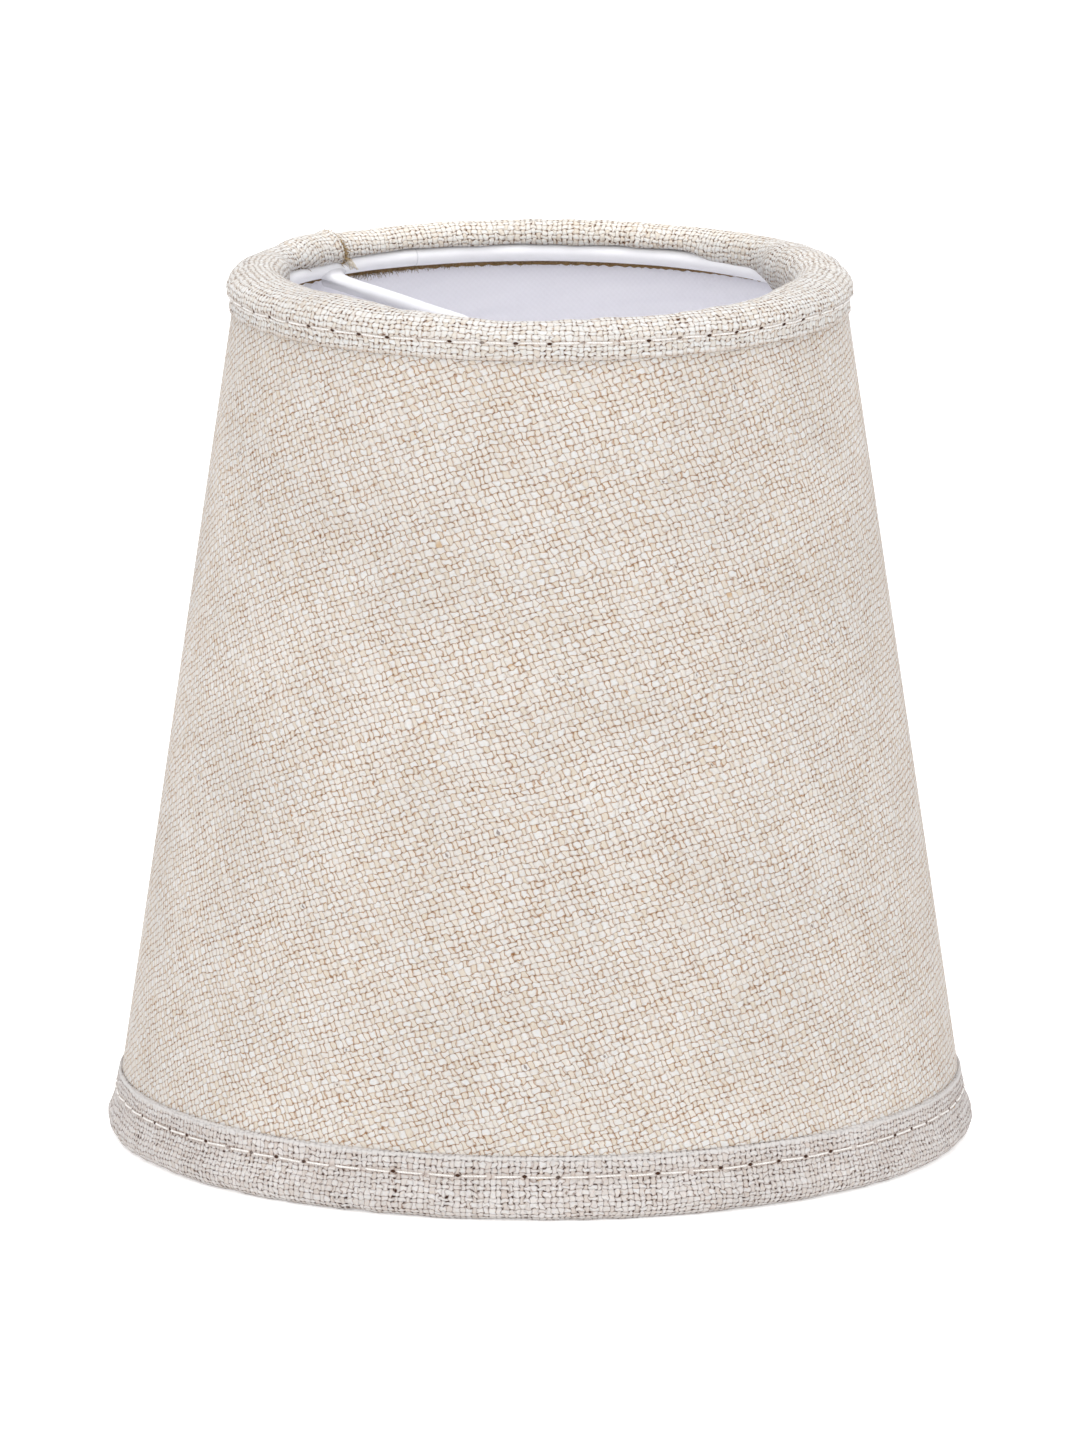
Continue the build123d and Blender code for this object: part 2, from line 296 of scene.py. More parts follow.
def top_route():
    """The top trim's middle line: hem, fold, outer half, roll over the ring, turned-in half."""
    roll_half = (ROLL_OUT_R - (RING_R - 1.8 * MM)) / 2 - HALF
    roll_centre = (ROLL_OUT_R - HALF - roll_half, ROLL_SPRING)
    tuck = 0.45 * MM
    tuck_centre = (roll_centre[0] - roll_half + tuck, ROLL_SPRING - 0.1 * MM)
    wrap = RING_WIRE + HALF + 0.03 * MM
    straight = UPPER_EDGE + 2.0 * MM
    inner = TOP_TURN_IN + 0.6 * MM
    return [
        (cone(UPPER_EDGE + HEM) + HEM_LINE, UPPER_EDGE + HEM),
        *hem_fold(UPPER_EDGE, 1),
        (cone(straight) + BAND_LINE + 0.05 * MM, straight),
        *arc(roll_centre, roll_half, ROLL_TOP - ROLL_SPRING - HALF, -4, 182, 26),
        *arc(tuck_centre, tuck, 0.35 * MM, 190, 262, 4),
        *arc((RING_R, RING_Z), wrap, wrap, 112, 8, 10),
        (cone(inner) - INNER_LINE, inner),
        (cone(TOP_TURN_IN) - INNER_LINE, TOP_TURN_IN - 0.5 * MM),
    ]


def bottom_route():
    """The bottom trim's middle line: hem, fold, outer half, bead round the ring, turned-in half."""
    roll = BASE_R - BEAD_R - HALF
    inner = cone(8 * MM) - INNER_LINE
    flat, leaving = LOWER_EDGE - 3 * MM, LOWER_EDGE - 5 * MM
    return [
        (cone(LOWER_EDGE - HEM) + HEM_LINE, LOWER_EDGE - HEM),
        *hem_fold(LOWER_EDGE, -1),
        (cone(flat) + BAND_LINE, flat),
        (cone(leaving) + BAND_LINE + 0.05 * MM, leaving),
        *arc((BEAD_R, BEAD_Z), roll, roll, 38, -222, 34),
        (inner, 7.0 * MM),
        (inner + 0.1 * MM, 9.4 * MM),
    ]


class Tape:
    """A trim: a strip of cloth swept round the shade along a route, with its own small lumps."""

    def __init__(self, route, facing, join, stitches, stitch_z, mean_radius, relief, lift):
        self.line, self.along = evenly(route, 0.44 * MM)
        tangent = np.gradient(self.line, self.along, axis=0)
        tangent /= np.hypot(*tangent.T)[:, None]
        self.normal = facing * np.stack([tangent[:, 1], -tangent[:, 0]], axis=-1)
        self.join = join
        self.stitches = stitches
        self.threads = round(2 * math.pi * mean_radius / TRIM_AROUND)
        self.relief = relief
        self.lift = lift
        outside = np.nonzero(self.normal[:, 0] > 0.8)[0]
        nearest = outside[np.argmin(np.abs(self.line[outside, 1] - stitch_z))]
        self.stitch_row = int(nearest)
        self.stitch_along = self.along[nearest]

    def section(self, degrees, side):
        """Radii and heights of one face at some angles: side is 1 for the outside, -1 for the back."""
        d = np.asarray(degrees)[:, None]
        s = self.along[None, :]
        out = self.relief(self, d, s) + side * HALF
        radius = self.line[None, :, 0] + out * self.normal[None, :, 0]
        height = self.line[None, :, 1] + out * self.normal[None, :, 1]
        return radius, height + self.lift(self, d, s)

    def lapped(self, degrees):
        """1 where the strip's start lies on its end, and 0 past the lap."""
        end = self.join + JOIN_OVERLAP
        return 1 - ramp(degrees, end, end + LAP_FADE)

    def over_stitches(self, degrees):
        """Points on the cloth along the stitch line."""
        radius, height = self.section(degrees, 1)
        return around(radius[:, self.stitch_row], degrees, height[:, self.stitch_row])

    def build(self, name, node, steps):
        """The strip as one closed mesh, no lower than the ground, in place of a CAD node."""
        degrees = np.linspace(self.join, self.join + 360 + JOIN_OVERLAP, steps + 1)
        front_r, front_z = self.section(degrees, 1)
        back = slice(None, None, -3)
        back_r, back_z = self.section(degrees, -1)
        radius = np.concatenate([front_r, back_r[:, back]], axis=1)
        height = np.concatenate([front_z, back_z[:, back]], axis=1)
        points = around(radius, degrees[:, None], np.maximum(height, 0))
        ring = radius.shape[1]
        steps_along = np.hypot(np.diff(front_r, axis=1), np.diff(front_z, axis=1))
        measured = np.concatenate([np.zeros((steps + 1, 1)), np.cumsum(steps_along, axis=1)], axis=1)
        measured += self.stitch_along - measured[:, [self.stitch_row]]
        u = np.repeat(degrees[:, None] / 360 * self.threads, ring + 1, axis=1)
        v = np.concatenate([measured, measured[:, back], measured[:, :1]], axis=1) / TRIM_ACROSS
        faces = grid_faces(steps, ring, ring, steps + 1).tolist()
        faces += [list(range(ring)), [steps * ring + k for k in range(ring)][::-1]]
        start_uv = np.stack([u[0, :ring], v[0, :ring]], axis=-1)
        end_uv = np.stack([u[-1, :ring], v[-1, :ring]], axis=-1)[::-1]
        uv = np.concatenate([grid_uv(u, v), start_uv, end_uv])
        piece = add_object(name, points, faces, uv)
        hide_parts(node)
        return piece


def swelling(degrees):
    """How far the roll's inner side bulges over the ring, in millimetres, which is most at the sides."""
    right = turned(degrees, RIGHT)
    left = turned(degrees, LEFT)
    over_right = ramp(right, 40, 24) * ramp(right, -56, -20)
    over_left = ramp(left, -27, -8) * ramp(left, 84, 44)
    return 3.4 * over_right + 2.9 * over_left + 0.8 * bell(left - 30, 18)


def ragged(tape, d, s):
    """Unevenness of a raw edge, in millimetres up or down."""
    edge = tape.along[-1]
    return 0.07 * waves(d, 60, 240, 61) * ramp(s, edge - 1.2 * MM, edge)


def top_lift(tape, d, s):
    """How far the top trim rises: its lip sags over the ring on one side, and its raw edge is ragged."""
    right = turned(d, RIGHT)
    sag = 1.3 * ramp(right, 58, 49) * ramp(right, -60, -20)
    lip = bell(s - 17.6 * MM, 1.6 * MM)
    return MM * (ragged(tape, d, s) - sag * lip)


def bottom_lift(tape, d, s):
    """How far the bottom trim rises, which is only at its ragged raw edge."""
    return MM * ragged(tape, d, s)


def stretch(s, rise, full, fall, end):
    """1 from full to fall and 0 outside rise and end, smooth between, in millimetres along a trim."""
    return ramp(s, rise * MM, full * MM) * (1 - ramp(s, fall * MM, end * MM))


def top_relief(tape, d, s):
    """How far the top trim stands out of its route: the roll's lumps, the stitch groove and the lap."""
    roll = stretch(s, 6.5, 9, 19, 21)
    band = stretch(s, 2.5, 3.5, 6.5, 9)
    lip = bell(s - 16.6 * MM, 3.0 * MM)
    lumps = 0.10 * waves(d, 4, 14, 31, 60 * s) + 0.045 * waves(d, 18, 60, 32, 180 * s)
    groove = -0.12 * bell(s - tape.stitch_along, 0.5 * MM)
    raised = tape.lapped(d) * stretch(s, 2.5, 6, 18.5, 20.5)
    curl = 0.25 * bell(d - tape.join, 1.2) * roll
    return MM * (
        roll * (lumps - 0.5 * bell(turned(d, FRONT + 3), 22))
        + lip * (swelling(d) + 0.08 * waves(d, 9, 40, 33))
        + 0.05 * band * waves(d, 12, 70, 34)
        + groove
        + 0.42 * raised
        + curl
    )


def bottom_relief(tape, d, s):
    """How far the bottom trim stands out of its route."""
    outside = stretch(s, 3, 5, 20, 23)
    bead = stretch(s, 8, 10, 15, 18)
    groove = -0.10 * bell(s - tape.stitch_along, 0.55 * MM)
    return MM * (
        0.06 * outside * waves(d, 14, 90, 41, 90 * s)
        + 0.07 * bead * (waves(d, 4, 22, 42) - 1)
        + groove
        + 0.34 * tape.lapped(d) * outside
    )


def stitches(tape):
    """The middle lines and thickness of a trim's stitches, each dipping into the cloth at both ends."""
    step = 360 / tape.stitches
    t = np.linspace(0, 1, 17)
    proud = THREAD_RADIUS * (0.75 - 3.4 * (1 - ramp(t, 0, 0.13) * (1 - ramp(t, 0.87, 1))))
    for k in range(tape.stitches):
        degrees = tape.join + step * (k + 0.06) + step * 0.88 * t
        slack = rng.uniform(-0.09, 0.09) * MM * (2 * t - 1) + rng.uniform(-0.05, 0.05) * MM
        line = tape.over_stitches(degrees) + around(1.0, degrees, 0.0) * proud[:, None]
        line[:, 2] += slack
        yield line, THREAD_RADIUS


def tubes(name, threads, sides):
    """Many round threads as one mesh, from pairs of a middle line and the radius along it."""
    all_points, all_faces, all_uv = [], [], []
    offset = 0
    turn = circle(sides)
    for line, radius in threads:
        size = np.broadcast_to(radius, len(line))
        tangent = np.gradient(line, axis=0)
        tangent /= np.linalg.norm(tangent, axis=1)[:, None]
        side = np.cross(tangent, [0.13, 0.21, 0.97])
        side /= np.linalg.norm(side, axis=1)[:, None]
        up = np.cross(side, tangent)
        ring = side[:, None] * np.cos(turn)[None, :, None] + up[:, None] * np.sin(turn)[None, :, None]
        all_points.append((line[:, None] + ring * size[:, None, None]).reshape(-1, 3))
        rows = len(line) - 1
        faces = grid_faces(rows, sides, sides, rows + 1) + offset
        last = offset + rows * sides
        ends = [list(range(offset, offset + sides))[::-1], list(range(last, last + sides))]
        length = np.concatenate([[0], np.cumsum(np.linalg.norm(np.diff(line, axis=0), axis=1))]) / MM
        all_faces += faces.tolist() + ends
        all_uv += [tube_uv(length, sides), np.zeros((2 * sides, 2))]
        offset += (rows + 1) * sides
    return add_object(name, np.concatenate(all_points), all_faces, np.concatenate(all_uv))


def make_trims():
    """Both trims with their stitching."""
    top = Tape(top_route(), 1, TOP_JOIN, TOP_STITCHES, TOP_STITCH_Z, TOP_MEAN_R, top_relief, top_lift)
    bottom = Tape(bottom_route(), -1, BOTTOM_JOIN, BOTTOM_STITCHES, BOTTOM_STITCH_Z, BEAD_R,
                  bottom_relief, bottom_lift)
    top_piece = top.build("top_tape", "top_trim", 1180)
    bottom_piece = bottom.build("bottom_tape", "bottom_trim", 1160)
    top_thread = tubes("top_stitches", stitches(top), 8)
    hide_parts("top_trim_stitching")
    bottom_thread = tubes("bottom_stitches", stitches(bottom), 8)
    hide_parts("bottom_trim_stitching")
    return top, bottom


# ---- wire frame ----


def make_top_ring():
    """The coated ring, a torus whose two wire ends meet at a fine butt joint."""
    base = np.linspace(RING_JOINT, RING_JOINT + 360, 361)[:-1]
    close = RING_JOINT + np.linspace(-0.6, 0.6, 25)
    degrees = np.unique(np.concatenate([base, close + 360 * (close < RING_JOINT)]).round(6))
    sides = 32
    turn = circle(sides)
    distance = np.radians(turned(degrees, RING_JOINT)) * RING_R
    wire = RING_WIRE - 0.07 * MM * bell(distance, 0.10 * MM) + 0.012 * MM * waves(degrees, 6, 40, 51)
    warp = -0.45 * MM * bell(turned(degrees, FRONT + 115), 35)
    radius = RING_R + wire[:, None] * np.cos(turn)
    height = RING_Z + warp[:, None] + wire[:, None] * np.sin(turn)
    points = around(radius, degrees[:, None], height)
    rows = len(degrees)
    along = np.append(distance, distance[0] + 2 * math.pi * RING_R) / MM
    faces = grid_faces(rows, sides, sides, rows).tolist()
    piece = add_object("top_wire_ring", points, faces, tube_uv(along, sides))
    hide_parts("top_ring")


def ring_surface(degrees, section, depth):
    """Points on the ring's surface, or depth inside it, by angle round the shade and round the wire."""
    wire = RING_WIRE - depth
    turn = np.radians(section)
    return around(RING_R + wire * np.cos(turn), degrees, RING_Z + wire * np.sin(turn))


def bezier(share, start, handle_1, handle_2, end):
    """Points of a cubic curve, from start at a share of 0 to end at 1."""
    rest = 1 - share
    pulled = 3 * rest**2 * share * handle_1 + 3 * rest * share**2 * handle_2
    return rest**3 * start + pulled + share**3 * end


def make_weld(name, direction):
    """The coating's smooth flare where an arm meets the ring's underside."""
    sides = 32
    turn = circle(sides)
    side, up = np.cos(turn)[:, None], np.sin(turn)[:, None]
    outward = around(1.0, direction, ARM_SLOPE)
    outward = outward / np.linalg.norm(outward)
    tangent = around(1.0, direction + 90, 0.0)
    normal = np.cross(outward, tangent)
    normal = normal * np.sign(normal[2])
    meet = around(RING_R, direction, RING_Z - ARM_DROP)
    start = meet - outward * FLARE
    rim = start + ARM_WIRE * (side * tangent + up * normal)
    seat_half, seat_middle, seat_reach = 3.4 * MM, 228, 52  # along the ring, and degrees round its wire
    seat_angle = direction + np.degrees(seat_half * side[:, 0] / RING_R)
    seat_section = seat_middle - seat_reach * up[:, 0]
    seat = ring_surface(seat_angle, seat_section, 0.01 * MM)
    wire_out = (seat - around(RING_R, seat_angle, RING_Z)) / RING_WIRE
    pull = meet - seat
    pull = pull - wire_out * (pull * wire_out).sum(axis=1)[:, None]
    leaving = rim + outward * 0.65 * FLARE + 0.28 * (rim - start)
    share = np.linspace(0, 1, 17)[:, None, None]
    blend = bezier(share, rim, leaving, seat + 0.70 * pull, seat)
    tucked_in = start - outward * 0.3 * MM + 0.7 * (rim - start)
    sunk = ring_surface(seat_angle, seat_section, 0.6 * MM)
    points = np.concatenate([tucked_in[None], blend, sunk[None]])
    rows = len(points) - 1
    faces = grid_faces(rows, sides, sides, rows + 1).tolist()
    along = np.linspace(0, FLARE, rows + 1) / MM
    add_object(name, points, faces, tube_uv(along, sides))


# ---- frayed ends ----


def fibre(start, push, droop, length):
    """A loose fibre from a point: it sets off along push, falls by droop and wanders a little."""
    t = np.linspace(0, 1, 7)[:, None]
    wander = np.cumsum(rng.normal(0, 0.12, (7, 3)), axis=0) * t
    return start + length * (push * t + np.array([0, 0, -droop]) * t**2 + wander)


def thinning(low, high, tip=0.5, count=7):
    """A random thickness between low and high, in millimetres, that shrinks to a share at the tip."""
    return rng.uniform(low, high) * MM * np.linspace(1, tip, count)


def raw_edge_fibres():
    """Ends of threads that hang from the turned-in half under the ring."""
    edge = TOP_TURN_IN - 0.45 * MM
    for _ in range(520):
        back = TOP_JOIN - rng.gamma(1.6, 16)
        if back < 60:
            continue
        near = bell(back - FRAY_MIDDLE, 11)
        radius = cone(edge) - LINED - rng.uniform(0.2, 0.8) * MM
        start = around(radius, back, edge + rng.uniform(0, 0.7) * MM)
        push = around(-rng.uniform(0.0, 0.5), back, -0.5) + around(rng.normal(0, 0.35), back + 90, 0.0)
        length = (0.35 + 0.45 * near) * rng.uniform(0.4, 1.2) * MM
        yield fibre(start, push, 0.5, length), thinning(0.035, 0.075)


def join_fibres(tape):
    """Short brown ends along the cut end of the top trim, where it lies on the layer below."""
    radius, height = tape.section([tape.join + 0.1], 1)
    surface = np.stack([radius[0], height[0]], axis=-1)
    for _ in range(520):
        s = (18.5 - 3.0 * abs(rng.normal()) - rng.choice([0, 6], p=[0.8, 0.2])) * MM
        k = int(np.argmin(np.abs(tape.along - s)))
        place = surface[k] - rng.uniform(0.0, 0.5) * MM * tape.normal[k]
        start = around(place[0], tape.join + rng.uniform(0, 0.3), place[1])
        near = bell(s - 17.0 * MM, 2.5 * MM)
        push = around(-1.0, tape.join + 90, 0.0) + rng.normal(0, 0.35, 3)
        yield fibre(start, push, 0.3, rng.uniform(0.2, 0.55) * (1 + near) * MM), thinning(0.04, 0.09)


def lip_fibres(tape):
    """Brown ends that show under the lapped layer's lip, where it lies on the ring: loose ends, and also a
    dark line of painted shade under the lip.
    """
    k = int(np.argmin(np.abs(tape.along - 17.9 * MM)))
    for _ in range(260):
        degrees = tape.join + rng.exponential(6.0)
        radius, height = tape.section([degrees], 1)
        start = around(radius[0, k], degrees, height[0, k] + rng.uniform(-0.2, 0.1) * MM)
        push = around(-rng.uniform(0.1, 0.5), degrees, -0.6)
        push = push + around(rng.normal(0, 0.5), degrees + 90, 0.0)
        yield fibre(start, push, 0.2, rng.uniform(0.25, 0.6) * MM), thinning(0.04, 0.08)


def hanging_threads():
    """Loose cream threads that hang from the join over the ring's inner face."""
    t = np.linspace(0, 1, 13)
    for _ in range(16):
        reach = rng.uniform(0.75, 1.05)
        degrees = TOP_JOIN - 0.6 - rng.uniform(0, 1.2) - (2.4 + rng.uniform(-0.6, 1.4)) * reach * t
        section = 82 + 125 * reach * t
        wander = np.cumsum(rng.normal(0, 0.10, 13)) * t
        line = ring_surface(degrees + wander, section, -rng.uniform(0.10, 0.25) * MM)
        yield line, thinning(0.08, 0.14, 0.7, 13)


def make_fray(tape):
    """The frayed ends: brown ones at the trim's cut edges, and cream ones over the ring."""
    brown = [*raw_edge_fibres(), *join_fibres(tape), *lip_fibres(tape)]
    tubes("raw_fibres", brown, 4)
    tubes("loose_threads", hanging_threads(), 6)


# ---- materials ----


class Nodes:
    """Short calls that build a material's nodes."""

    def __init__(self, name, slot_color):
        self.material = bpy.data.materials.new(name)
        self.material.use_nodes = True
        self.material.diffuse_color = (*slot_color, 1)
        self.tree = self.material.node_tree
        self.tree.nodes.clear()

    def add(self, kind, **settings):
        node = self.tree.nodes.new("ShaderNode" + kind)
        for key, value in settings.items():
            setattr(node, key, value)
        return node

    def put(self, socket, value):
        if isinstance(value, bpy.types.NodeSocket):
            self.tree.links.new(value, socket)
        else:
            socket.default_value = value

    def calc(self, operation, *values):
        node = self.add("Math", operation=operation)
        for socket, value in zip(node.inputs, values):
            self.put(socket, value)
        return node.outputs[0]

    plus = partialmethod(calc, "ADD")
    minus = partialmethod(calc, "SUBTRACT")
    times = partialmethod(calc, "MULTIPLY")
    absolute = partialmethod(calc, "ABSOLUTE")
    affine = partialmethod(calc, "MULTIPLY_ADD")  # a value times a factor, plus an offset

    def band(self, value, low, high):
        """0 below low and 1 above high, smooth between; low may be the larger."""
        node = self.add("MapRange", interpolation_type="SMOOTHSTEP")
        for socket, number in zip(node.inputs, (value, low, high, 0.0, 1.0)):
            self.put(socket, number)
        return node.outputs[0]

    def pack(self, x, y, z=0.0):
        node = self.add("CombineXYZ")
        for socket, value in zip(node.inputs, (x, y, z)):
            self.put(socket, value)
        return node.outputs[0]

    def noise(self, vector, scale=1.0, detail=1.0):
        node = self.add("TexNoise")
        self.put(node.inputs["Vector"], vector)
        self.put(node.inputs["Scale"], scale)
        self.put(node.inputs["Detail"], detail)
        return node.outputs[0]

    def random(self, vector):
        node = self.add("TexWhiteNoise", noise_dimensions="3D")
        self.put(node.inputs["Vector"], vector)
        return node.outputs["Value"]

    def mix(self, share, first, second):
        node = self.add("Mix", data_type="RGBA")
        self.put(node.inputs["Factor"], share)
        for socket, value in zip((node.inputs[6], node.inputs[7]), (first, second)):
            self.put(socket, (*value, 1.0) if isinstance(value, tuple) else value)
        return node.outputs[2]

    def scaled(self, color, share):
        """A colour times a number."""
        node = self.add("VectorMath", operation="SCALE")
        self.put(node.inputs[0], color)
        self.put(node.inputs["Scale"], share)
        return node.outputs[0]

    def split(self, vector):
        """The three numbers of a vector."""
        node = self.add("SeparateXYZ")
        self.put(node.inputs[0], vector)
        return node.outputs

    def filtered(self, color, gains):
        """A colour times one number for each channel."""
        node = self.add("VectorMath", operation="MULTIPLY")
        self.put(node.inputs[0], color)
        self.put(node.inputs[1], self.pack(*gains))
        return node.outputs[0]

    def tinted(self, color, warm, pink, strength):
        """A colour nudged between warm and cool, and between pink and green, by two noises."""
        red = self.affine(warm, strength, 1 - strength / 2)
        green = self.affine(pink, -strength / 2, 1 + strength / 4)
        blue = self.affine(warm, -strength, 1 + strength / 2)
        return self.filtered(color, (red, green, blue))

    def painted_back_light(self, color, gains):
        """A colour with painted light: it gains on the side away from the front, standing in for light
        that comes through the cloth.
        """
        x, y, _ = self.split(self.place())
        turn = math.radians(FRONT)
        away = self.times(x, -math.cos(turn) / ROLL_OUT_R)
        away = self.affine(y, -math.sin(turn) / ROLL_OUT_R, away)
        share = self.band(away, 0.25, 0.95)
        return self.filtered(color, [self.affine(share, gain, 1.0) for gain in gains])

    def threads(self):
        """The UV map that counts threads, as two numbers."""
        u, v, _ = self.split(self.add("UVMap", uv_map="Threads").outputs[0])
        return u, v

    def place(self):
        """Where a point lies on its own object, in metres."""
        return self.add("TexCoord").outputs["Object"]

    def finish(self, color, roughness, height=None, depth=0.0, **sockets):
        shader = self.add("BsdfPrincipled")
        self.put(shader.inputs["Base Color"], color)
        self.put(shader.inputs["Roughness"], roughness)
        for key, value in sockets.items():
            self.put(shader.inputs[key.replace("_", " ")], value)
        if height is not None:
            bump = self.add("Bump")
            self.put(bump.inputs["Height"], height)
            self.put(bump.inputs["Distance"], depth)
            self.put(shader.inputs["Normal"], bump.outputs[0])
        output = self.add("OutputMaterial")
        self.tree.links.new(shader.outputs[0], output.inputs[0])
        return self.material


class Weave(Nodes):
    """Plain-weave linen over the UV map of threads: the A yarns run along u and the B yarns along v."""

    def __init__(self, name, look):
        super().__init__(name, look["light"])
        self.look = look
        self.raw_u, self.raw_v = self.threads()
        self.u = self.plus(self.raw_u, self.wander(0.0, 0.02, 0.7))
        self.v = self.plus(self.raw_v, self.wander(7.3, 0.7, 0.02))
        self.row, self.col = self.calc("FLOOR", self.v), self.calc("FLOOR", self.u)
        self.across_a = self.minus(self.calc("FRACT", self.v), 0.5)
        self.across_b = self.minus(self.calc("FRACT", self.u), 0.5)
        self.chance = self.random(self.pack(self.col, self.row, 1.0))
        self.slub_a, self.slub_b = (self.band(slub, 0.70, 0.78) for slub in self.along_yarn(0.10, 61.0))
        self.interlace()

    def field(self, across, up, layer, detail=1.0):
        """Noise over the cloth, with its grain across and up in cells per thread."""
        u, v = self.times(self.raw_u, across), self.times(self.raw_v, up)
        return self.noise(self.pack(u, v, layer), 1.0, detail)

    def wander(self, layer, long_up, long_across):
        """How far the yarns stray from a straight grid, in threads."""
        slow = self.times(self.field(0.07, 0.07, layer, 2.0), 1.8)
        bend = self.affine(self.field(0.35, 0.35, layer + 17.0), 0.5, slow)
        uneven = self.affine(self.field(long_across, long_up, layer + 11.0), 0.7, bend)
        return self.affine(self.field(1.1, 1.1, layer + 3.1), self.look["shake"], uneven)

    def along_yarn(self, grain, layer, detail=1.0):
        """Noise that runs along each yarn: one value for the A yarns, one for the B yarns."""
        row_key, col_key = self.times(self.row, 7.31), self.times(self.col, 5.17)
        along_a, along_b = self.times(self.u, grain), self.times(self.v, grain)
        first = self.noise(self.pack(along_a, row_key, layer), 1.0, detail)
        second = self.noise(self.pack(col_key, along_b, layer + 40.0), 1.0, detail)
        return first, second

    def fibres(self, grain_u, grain_v, layer):
        """The fine streaks of a yarn's own fibres."""
        u, v = self.times(self.u, grain_u), self.times(self.v, grain_v)
        return self.noise(self.pack(u, v, layer), 1.0, 2.0)

    def width(self, wide, fat, slub, swell):
        """Half a yarn's width in threads: uneven, and wider where it is a slub."""
        uneven = self.look["uneven"]
        usual = self.affine(fat, uneven, wide - uneven / 2)
        return self.affine(slub, swell, usual)

    def lift(self, along, lane, sign):
        """How a yarn rises over and dips under the yarns that cross it, from 1 to -1."""
        parity = self.calc("COSINE", self.times(lane, sign * math.pi))
        return self.times(self.calc("SINE", self.times(along, sign * math.pi)), parity)

    def yarn(self, across, wide, lift):
        """A yarn's height, and how far inside its edge a point is."""
        spread = self.calc("DIVIDE", across, wide)
        rest = self.minus(1.0, self.times(spread, spread))
        dome = self.calc("SQRT", self.calc("MAXIMUM", rest, 0.0))
        inside = self.band(rest, -0.55, 0.45)
        arch = self.calc("MAXIMUM", self.calc("MINIMUM", self.times(lift, 1.5), 1.0), -1.0)
        crown = self.affine(arch, 0.45, self.times(dome, 0.50))
        return self.plus(crown, self.affine(inside, 1.2, -1.2)), inside

    def interlace(self):
        """Which yarn is over, how high the cloth is, and where it is open between the yarns."""
        fat_a, fat_b = self.along_yarn(0.22, 1.0)
        wide_a = self.width(self.look["wide_a"], fat_a, self.slub_a, 0.12)
        wide_b = self.width(self.look["wide_b"], fat_b, self.slub_b, 0.10)
        high_a, inside_a = self.yarn(self.across_a, wide_a, self.lift(self.u, self.row, 1))
        high_b, inside_b = self.yarn(self.across_b, wide_b, self.lift(self.v, self.col, -1))
        self.above = self.minus(high_a, high_b)
        self.over = self.band(self.above, -0.12, 0.12)
        outside_a, outside_b = (self.minus(1.0, inside) for inside in (inside_a, inside_b))
        self.hole = self.times(outside_a, outside_b)
        self.top = self.calc("MAXIMUM", self.calc("MAXIMUM", high_a, high_b), -0.8)
        self.fibre = self.by_yarn(self.fibres(1.5, 8.0, 2.0), self.fibres(8.0, 1.5, 4.0))

    def by_yarn(self, first, second):
        """The first value where an A yarn is on top, and the second where a B yarn is."""
        return self.affine(self.over, self.minus(first, second), second)

    def dyed(self):
        """The yarns' own colours, which drift along each yarn and differ from float to float."""
        look = self.look
        tone_a, tone_b = (
            self.affine(self.chance, 0.20, self.minus(tone, 0.10))
            for tone in self.along_yarn(0.07, 21.0, 3.0)
        )
        pale_a = self.band(self.affine(self.slub_a, 0.25, tone_a), 0.36, 0.62)
        color_a = self.mix(pale_a, look["light_dull"], look["light"])
        color_b = self.mix(self.band(tone_b, 0.36, 0.62), look["tan_deep"], look["tan"])
        return self.mix(self.over, color_b, color_a)

    def shadowed(self, cloth):
        """The cloth with painted shade: dark rims round its floats, creases where yarns cross, and gaps
        between them.
        """
        look = self.look
        rim_chance = self.random(self.pack(self.col, self.row, 5.0))
        rim_depth = self.affine(rim_chance, 1.3 * look["depth"], 0.35 * look["depth"])
        rim = self.times(self.band(self.top, look["crown"], 0.15), rim_depth)
        crossing = self.band(self.absolute(self.above), 0.75, 0.05)
        crease = self.times(crossing, self.by_yarn(look["crease_a"], look["crease_b"]))
        dash = self.affine(self.random(self.pack(self.row, self.col, 9.0)), 1.5, 0.25)
        patchy = self.times(self.affine(self.field(0.8, 0.8, 31.0), 2.4, -0.4), dash)
        # painted shade on the floats' low rims and in the creases where yarns cross
        cloth = self.mix(rim, cloth, look["shadow"])
        cloth = self.mix(self.times(crease, self.calc("MAXIMUM", patchy, 0.0)), cloth, look["shadow"])
        # painted shade in the gaps between the yarns
        return self.mix(self.times(self.hole, look["open"]), cloth, look["gap_shade"])

    def flecked(self, cloth):
        """The cloth with its clouds, straw-coloured stains, dark husks and slight drifts of hue."""
        cloud = self.affine(self.noise(self.place(), 45.0, 4.0), 0.24, -0.12)
        cloth = self.scaled(cloth, self.plus(self.affine(self.fibre, 0.30, 0.85), cloud))
        stain_a, stain_b = self.along_yarn(0.30, 81.0)
        straw = self.by_yarn(self.band(stain_a, 0.80, 0.86), self.band(stain_b, 0.755, 0.82))
        cloth = self.mix(self.times(straw, 0.60), cloth, self.look["straw"])
        along = self.absolute(self.times(self.across_b, 2.6))
        from_middle = self.plus(along, self.absolute(self.times(self.across_a, 1.6)))
        husk = self.times(self.band(from_middle, 0.8, 0.4), self.band(self.chance, 0.9984, 0.9985))
        cloth = self.mix(self.times(husk, 0.70), cloth, (0.10, 0.055, 0.035))
        return self.tinted(cloth, self.field(2.0, 2.0, 51.0, 2.0), self.field(2.0, 2.0, 53.0, 2.0), 0.16)

    def folded(self, cloth, place, tone, share):
        """The cloth with a line painted along a fold, at a place along the strip in threads: its tone
        makes it painted shade on the top trim and a painted highlight on the bottom trim.
        """
        pressed = self.band(self.absolute(self.minus(self.raw_v, place)), 0.60, 0.15)
        shown = self.times(pressed, self.affine(self.fibre, 0.9, share))
        return self.mix(shown, cloth, tone)

